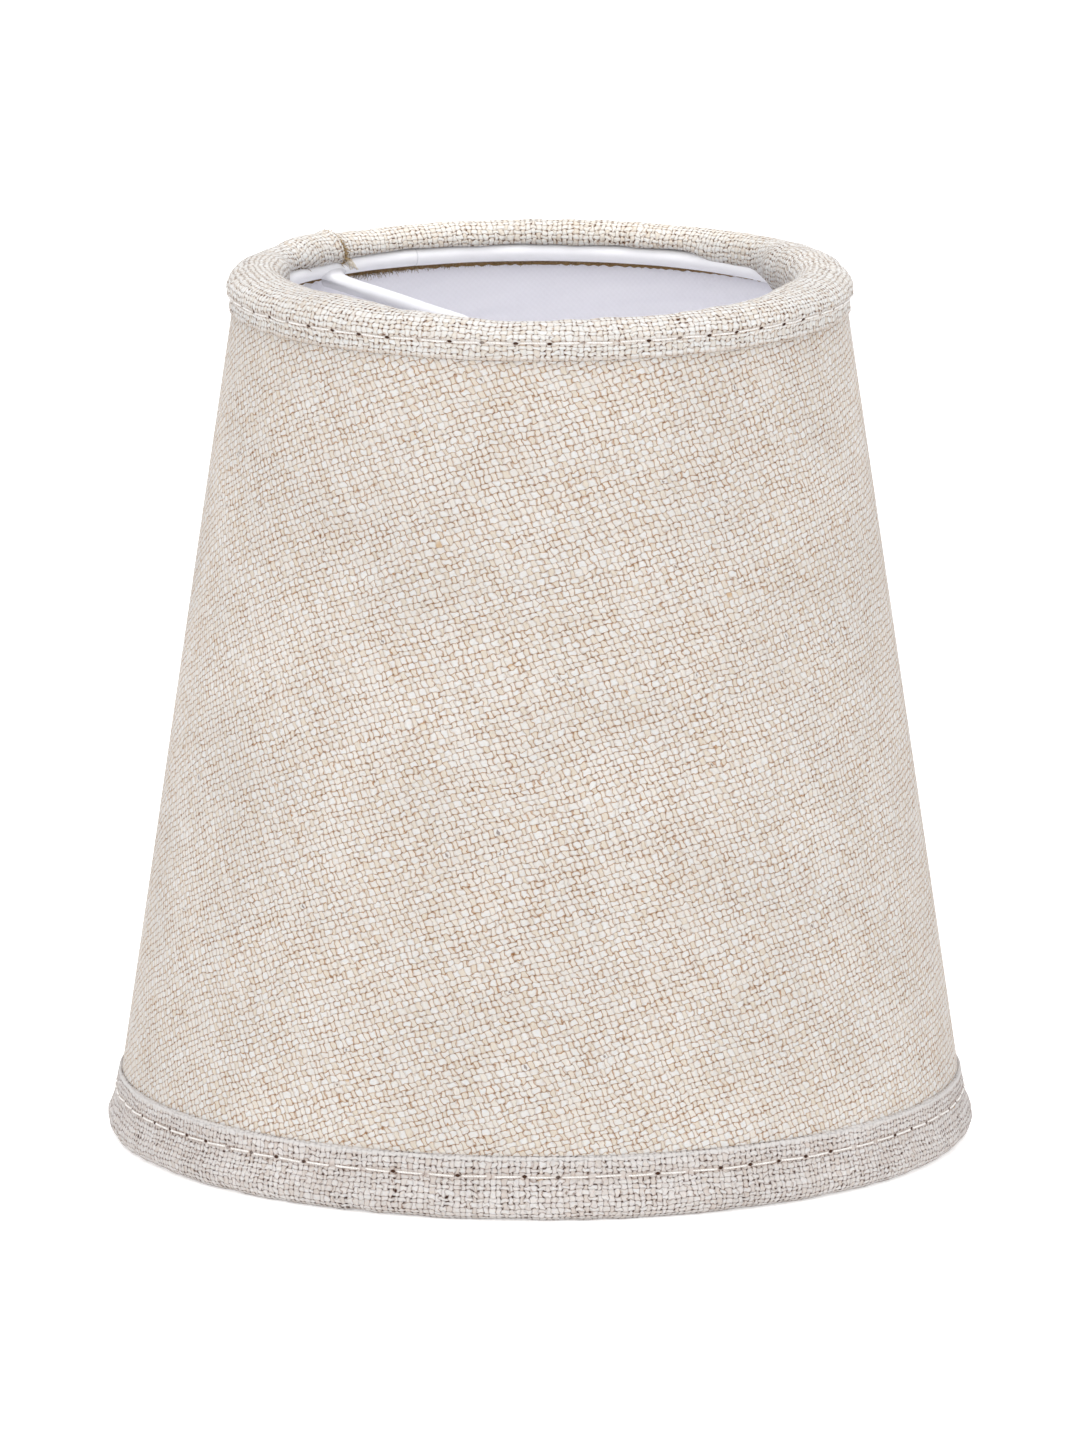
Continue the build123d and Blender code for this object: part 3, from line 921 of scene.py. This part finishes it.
    def darker_brown(self, cloth, edge):
        """The cloth darker and browner towards a raw edge that hangs at a height."""
        frayed = self.affine(self.fibre, 0.8 * MM, self.split(self.place())[2])
        return self.mix(self.band(frayed, edge + 0.8 * MM, edge + 0.1 * MM), cloth, (0.27, 0.17, 0.075))

    def pierced(self, cloth, height, stitch):
        """The cloth and its height, with the groove and the needle holes of a line of stitches, both
        darkened as painted shade.
        """
        phase = self.calc("DIVIDE", self.minus(self.raw_u, stitch["start"]), stitch["pitch"])
        phase = self.plus(phase, 0.5)
        which = self.random(self.pack(self.calc("FLOOR", phase), 2.0, 3.0))
        du = self.times(self.minus(self.calc("FRACT", phase), 0.5), stitch["pitch"])
        from_line = self.minus(self.raw_v, stitch["along"])
        dv = self.plus(from_line, self.affine(which, 0.24, -0.12))
        spot_u, spot_v = (
            self.calc("POWER", self.absolute(self.calc("DIVIDE", offset, reach)), 2.0)
            for offset, reach in ((du, 0.42), (dv, 0.30))
        )
        groove = self.band(self.absolute(from_line), 0.75, 0.25)
        # painted shade along the stitch groove
        cloth = self.mix(self.times(groove, 0.30), cloth, (0.40, 0.30, 0.24))
        spot = self.minus(self.plus(spot_u, spot_v), 0.55)
        spot = self.affine(self.fibre, 1.1, spot)
        hole = self.times(self.band(spot, 1.25, 0.55), self.band(which, 0.05, 0.55))
        # painted shade in the needle holes
        cloth = self.mix(hole, cloth, (0.045, 0.018, 0.008))
        return cloth, self.affine(hole, -1.6, height)


def linen(name, look, stitch=None, fold=None, raw_edge=None):
    """Plain-weave linen. look holds its tones and how open the weave is; stitch places needle holes,
    darkened as painted shade.

    fold is the place of a line painted along a fold, in threads along the strip, its tone and how much it
    shows. raw_edge is the height of a raw cut edge, towards which the cloth turns darker and browner.
    """
    n = Weave(name, look)
    cloth = n.flecked(n.shadowed(n.dyed()))
    height = n.affine(n.fibre, 0.35, n.top)
    # painted light: the far side of the top trim made brighter, for light that comes through the cloth
    if "back" in look:
        cloth = n.painted_back_light(cloth, look["back"])
    if fold:
        cloth = n.folded(cloth, *fold)
    if raw_edge:
        cloth = n.darker_brown(cloth, raw_edge)
    if stitch:
        cloth, height = n.pierced(cloth, height, stitch)
    return n.finish(cloth, 0.95, height, look["relief"], Sheen_Weight=0.05, Sheen_Roughness=0.6,
                    Sheen_Tint=(0.90, 0.90, 1.0, 1.0), Specular_IOR_Level=0.12)


# The tones of each cloth, its yarns' half-widths in threads, and how much its painted shade shows.
# "back" is painted light: the gain on the far side, standing in for light that comes through.
COVER_LOOK = {
    "light": (0.545, 0.535, 0.515), "light_dull": (0.525, 0.50, 0.465),
    "tan": (0.55, 0.515, 0.465), "tan_deep": (0.505, 0.45, 0.375),
    "shadow": (0.30, 0.165, 0.075), "gap_shade": (0.18, 0.08, 0.03), "straw": (0.38, 0.22, 0.075),
    "wide_a": 0.46, "wide_b": 0.36, "uneven": 0.34, "shake": 0.7,
    "crown": 0.80, "depth": 0.46, "crease_a": 0.60, "crease_b": 1.0, "open": 0.95,
    "relief": 0.15 * MM,
}
TRIM_LOOK = {
    "straw": (0.38, 0.23, 0.09), "wide_a": 0.375, "wide_b": 0.39, "uneven": 0.36, "shake": 1.0,
    "crown": 0.90, "depth": 0.33, "crease_a": 0.50, "crease_b": 0.65, "open": 1.0,
    "relief": 0.14 * MM,
}
TOP_LOOK = {
    **TRIM_LOOK,
    "light": (0.60, 0.598, 0.58), "light_dull": (0.56, 0.545, 0.515),
    "tan": (0.59, 0.58, 0.555), "tan_deep": (0.54, 0.50, 0.445),
    "shadow": (0.28, 0.165, 0.085), "gap_shade": (0.07, 0.026, 0.009), "back": (0.17, 0.155, 0.115),
}
# The bottom trim is the same linen as the top trim with every tone set darker and greyer: painted shade
# for the lower light on the bottom band.
BOTTOM_LOOK = {
    **TRIM_LOOK,
    "light": (0.525, 0.505, 0.485), "light_dull": (0.475, 0.445, 0.42),
    "tan": (0.515, 0.49, 0.47), "tan_deep": (0.46, 0.415, 0.38),
    "shadow": (0.175, 0.11, 0.075), "gap_shade": (0.035, 0.014, 0.008),
}


def coated_wire(name, white, jointed=False):
    """White plastic coating; a jointed wire's UV map counts millimetres from its butt joint."""
    n = Nodes(name, white)
    cloud = n.noise(n.place(), 260.0, 3.0)
    color = n.mix(n.band(cloud, 0.30, 0.75), tuple(0.97 * c for c in white), white)
    if jointed:
        joint = n.band(n.absolute(n.threads()[0]), 0.14, 0.05)
        color = n.mix(n.times(joint, 0.55), color, (0.42, 0.42, 0.46))
    return n.finish(color, 0.34, cloud, 0.05 * MM, Coat_Weight=0.25, Coat_Roughness=0.25)


def thread_material():
    """Cream sewing thread with its twist."""
    n = Nodes("cream sewing thread", (0.86, 0.81, 0.73))
    u, v = n.threads()
    twist = n.calc("SINE", n.times(n.plus(n.times(u, 2.2), v), 2 * math.pi))
    tone = n.noise(n.place(), 900.0, 2.0)
    color = n.mix(n.band(tone, 0.3, 0.7), (0.66, 0.63, 0.59), (0.76, 0.74, 0.71))
    color = n.scaled(color, n.affine(twist, 0.07, 0.95))
    return n.finish(color, 0.75, twist, 0.04 * MM, Sheen_Weight=0.2)


def fibre_material(name, dark, light):
    """Loose fibres between two tones."""
    n = Nodes(name, light)
    tone = n.noise(n.place(), 1400.0, 2.0)
    return n.finish(n.mix(n.band(tone, 0.3, 0.7), dark, light), 0.85, tone, 0.03 * MM)


def liner_material():
    """White plastic sheet, with the weave of the cloth pressed faintly into it."""
    n = Nodes("translucent white liner", (0.8, 0.8, 0.86))
    u, v = n.threads()
    wave_u, wave_v = (n.calc("SINE", n.times(count, 2 * math.pi)) for count in (u, v))
    weave = n.times(wave_u, wave_v)
    slow = n.noise(n.pack(n.times(u, 0.05), n.times(v, 0.45)), 1.0, 2.0)
    haze = n.plus(slow, n.times(n.noise(n.place(), 70.0, 3.0), 0.4))
    color = n.mix(n.band(haze, 0.45, 0.95), (0.88, 0.875, 0.925), (0.91, 0.905, 0.95))
    color = n.scaled(color, n.affine(weave, 0.012, 1.0))
    return n.finish(color, 0.5, weave, 0.02 * MM)


def steel(name, color, roughness, scale):
    """Bright steel with fine streaks."""
    n = Nodes(name, color)
    streak = n.noise(n.place(), scale, 4.0)
    tone = n.mix(n.band(streak, 0.25, 0.75), tuple(0.86 * c for c in color), color)
    rough = n.affine(streak, 0.18, roughness - 0.09)
    return n.finish(tone, rough, streak, 0.03 * MM, Metallic=1.0)


def tape_material():
    """White tape over the liner's seam."""
    n = Nodes("seam tape", (0.86, 0.86, 0.86))
    cloud = n.noise(n.place(), 180.0, 3.0)
    color = n.mix(cloud, (0.78, 0.78, 0.80), (0.88, 0.88, 0.89))
    return n.finish(color, 0.4, cloud, 0.04 * MM)


def give(material, *names):
    """Puts a material on pieces, which are CAD nodes or made here."""
    for name in names:
        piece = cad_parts.get(name) or bpy.data.objects[name]
        piece.data.materials.clear()
        piece.data.materials.append(material)


def stitch_marks(tape):
    """Where the needle holes lie in the trim's thread counts."""
    return {
        "start": tape.join / 360 * tape.threads,
        "pitch": tape.threads / tape.stitches,
        "along": tape.stitch_along / TRIM_ACROSS,
    }


def dress_cloth(top, bottom):
    """Materials of the sheets, the trims and their threads."""
    fold_place = (HEM + 0.5 * MM) / TRIM_ACROSS
    # painted shade along the top trim's lower fold
    top_fold_shade = (fold_place, TOP_LOOK["shadow"], -0.15)
    # painted highlight along the bottom trim's upper fold
    bottom_fold_highlight = (fold_place, BOTTOM_LOOK["light"], 0.50)
    top_edge = TOP_TURN_IN + 0.2 * MM
    give(linen("natural linen cover", COVER_LOOK), "cover")
    give(liner_material(), "liner_sheet")
    give(linen("natural linen top trim", TOP_LOOK, stitch_marks(top), top_fold_shade, top_edge), "top_tape")
    give(linen("natural linen bottom trim", BOTTOM_LOOK, stitch_marks(bottom), bottom_fold_highlight), "bottom_tape")
    give(thread_material(), "top_stitches", "bottom_stitches")
    give(fibre_material("scorched fibre ends", (0.20, 0.125, 0.05), (0.46, 0.33, 0.17)), "raw_fibres")
    give(fibre_material("loose linen thread", (0.60, 0.53, 0.42), (0.74, 0.69, 0.61)), "loose_threads")


def dress_frame():
    """Materials of the rings, the arms, the clip and the seam tape."""
    give(coated_wire("white coated ring", (0.88, 0.88, 0.895), jointed=True), "top_wire_ring")
    # the same white coating as the top ring, in a darker copy on these parts: painted shade
    give(coated_wire("white coated wire", (0.72, 0.72, 0.745)),
         "weld_left", "weld_right", "bottom_ring", "arm_left", "arm_right")
    give(steel("zinc-plated steel", (0.72, 0.72, 0.73), 0.38, 900.0), "clip_saddle",
         "pivot_rivet_left", "pivot_rivet_right", "friction_washer_left", "friction_washer_right")
    give(steel("plated spring wire", (0.70, 0.70, 0.71), 0.30, 1500.0), "hoop_back", "hoop_front")
    give(tape_material(), "seam_tape")


# ---- camera, light and floor ----

FRONT_VIEW = FRONT - 270  # the front as a view direction, which is 0 on the -Y side
CAMERA_LENS = 388
CAMERA_DISTANCE = 2.629
CAMERA_HEIGHT = 0.597
CAMERA_PITCH = 11.30  # degrees that it looks down


def toward(azimuth, elevation, distance):
    """A point at a distance in a view direction; azimuth 0 is on the -Y side."""
    a, e = math.radians(azimuth), math.radians(elevation)
    return Vector((math.sin(a) * math.cos(e), -math.cos(a) * math.cos(e), math.sin(e))) * distance


def make_camera():
    """A long lens, which looks down a little on the shade."""
    data = bpy.data.cameras.new("camera")
    data.lens = CAMERA_LENS
    data.sensor_width = 36
    data.clip_end = 50
    camera = put_in_scene("camera", data)
    camera.location = toward(FRONT_VIEW, 0, CAMERA_DISTANCE) + Vector((0, 0, CAMERA_HEIGHT))
    camera.rotation_euler = (math.radians(90 - CAMERA_PITCH), 0, math.radians(FRONT_VIEW))
    bpy.context.scene.camera = camera


def area_light(name, azimuth, elevation, distance, size, power, color):
    """A square light that points at the middle of the shade."""
    data = bpy.data.lights.new(name, "AREA")
    data.size = size
    data.energy = power
    data.color = color
    light = put_in_scene(name, data)
    middle = Vector((0, 0, (CAD_LOW.z + CAD_HIGH.z) / 2))
    light.location = middle + toward(azimuth, elevation, distance)
    light.rotation_euler = (middle - light.location).to_track_quat("-Z", "Y").to_euler()
    return light


def make_world():
    """An even, nearly white surrounding."""
    world = bpy.data.worlds.new("studio")
    world.use_nodes = True
    background = world.node_tree.nodes["Background"]
    background.inputs[0].default_value = (0.97, 0.97, 1.0, 1)
    background.inputs[1].default_value = 1.0
    bpy.context.scene.world = world
    bpy.context.scene.view_settings.view_transform = "Standard"


def make_lights():
    """Two soft lights in front, one overhead, and a faint one under the shade that lights its inside."""
    area_light("key", FRONT_VIEW - 30, 35, 1.6, 1.0, 4.0, (1.0, 0.98, 0.95))
    area_light("fill", FRONT_VIEW + 35, 25, 1.8, 1.2, 3.0, (1.0, 0.985, 0.96))
    area_light("top", FRONT_VIEW, 84, 1.3, 0.7, 10.5, (1.0, 1.0, 1.0))
    glow = area_light("inner glow", FRONT_VIEW, -90, 0.055, 0.09, 0.006, (0.97, 0.96, 1.0))
    glow.visible_camera = False


def make_floor():
    """A wide pale floor."""
    reach = 8.0
    corners = [(-reach, -reach, 0), (reach, -reach, 0), (reach, reach, 0), (-reach, reach, 0)]
    mesh = bpy.data.meshes.new("floor")
    mesh.from_pydata(corners, [], [(0, 1, 2, 3)])
    floor = put_in_scene("floor", mesh)
    n = Nodes("pale floor", (0.9, 0.9, 0.9))
    paper = n.mix(n.noise(n.place(), 3.0, 2.0), (0.90, 0.90, 0.90), (0.92, 0.92, 0.92))
    give(n.finish(paper, 0.8, Emission_Color=(1, 1, 1, 1), Emission_Strength=0.4), "floor")


# ---- the scene ----
make_wall()
top_trim, bottom_trim = make_trims()
make_top_ring()
make_weld("weld_right", 0)
make_weld("weld_left", 180)
make_fray(top_trim)
dress_cloth(top_trim, bottom_trim)
dress_frame()

make_world()
make_camera()
make_lights()
make_floor()
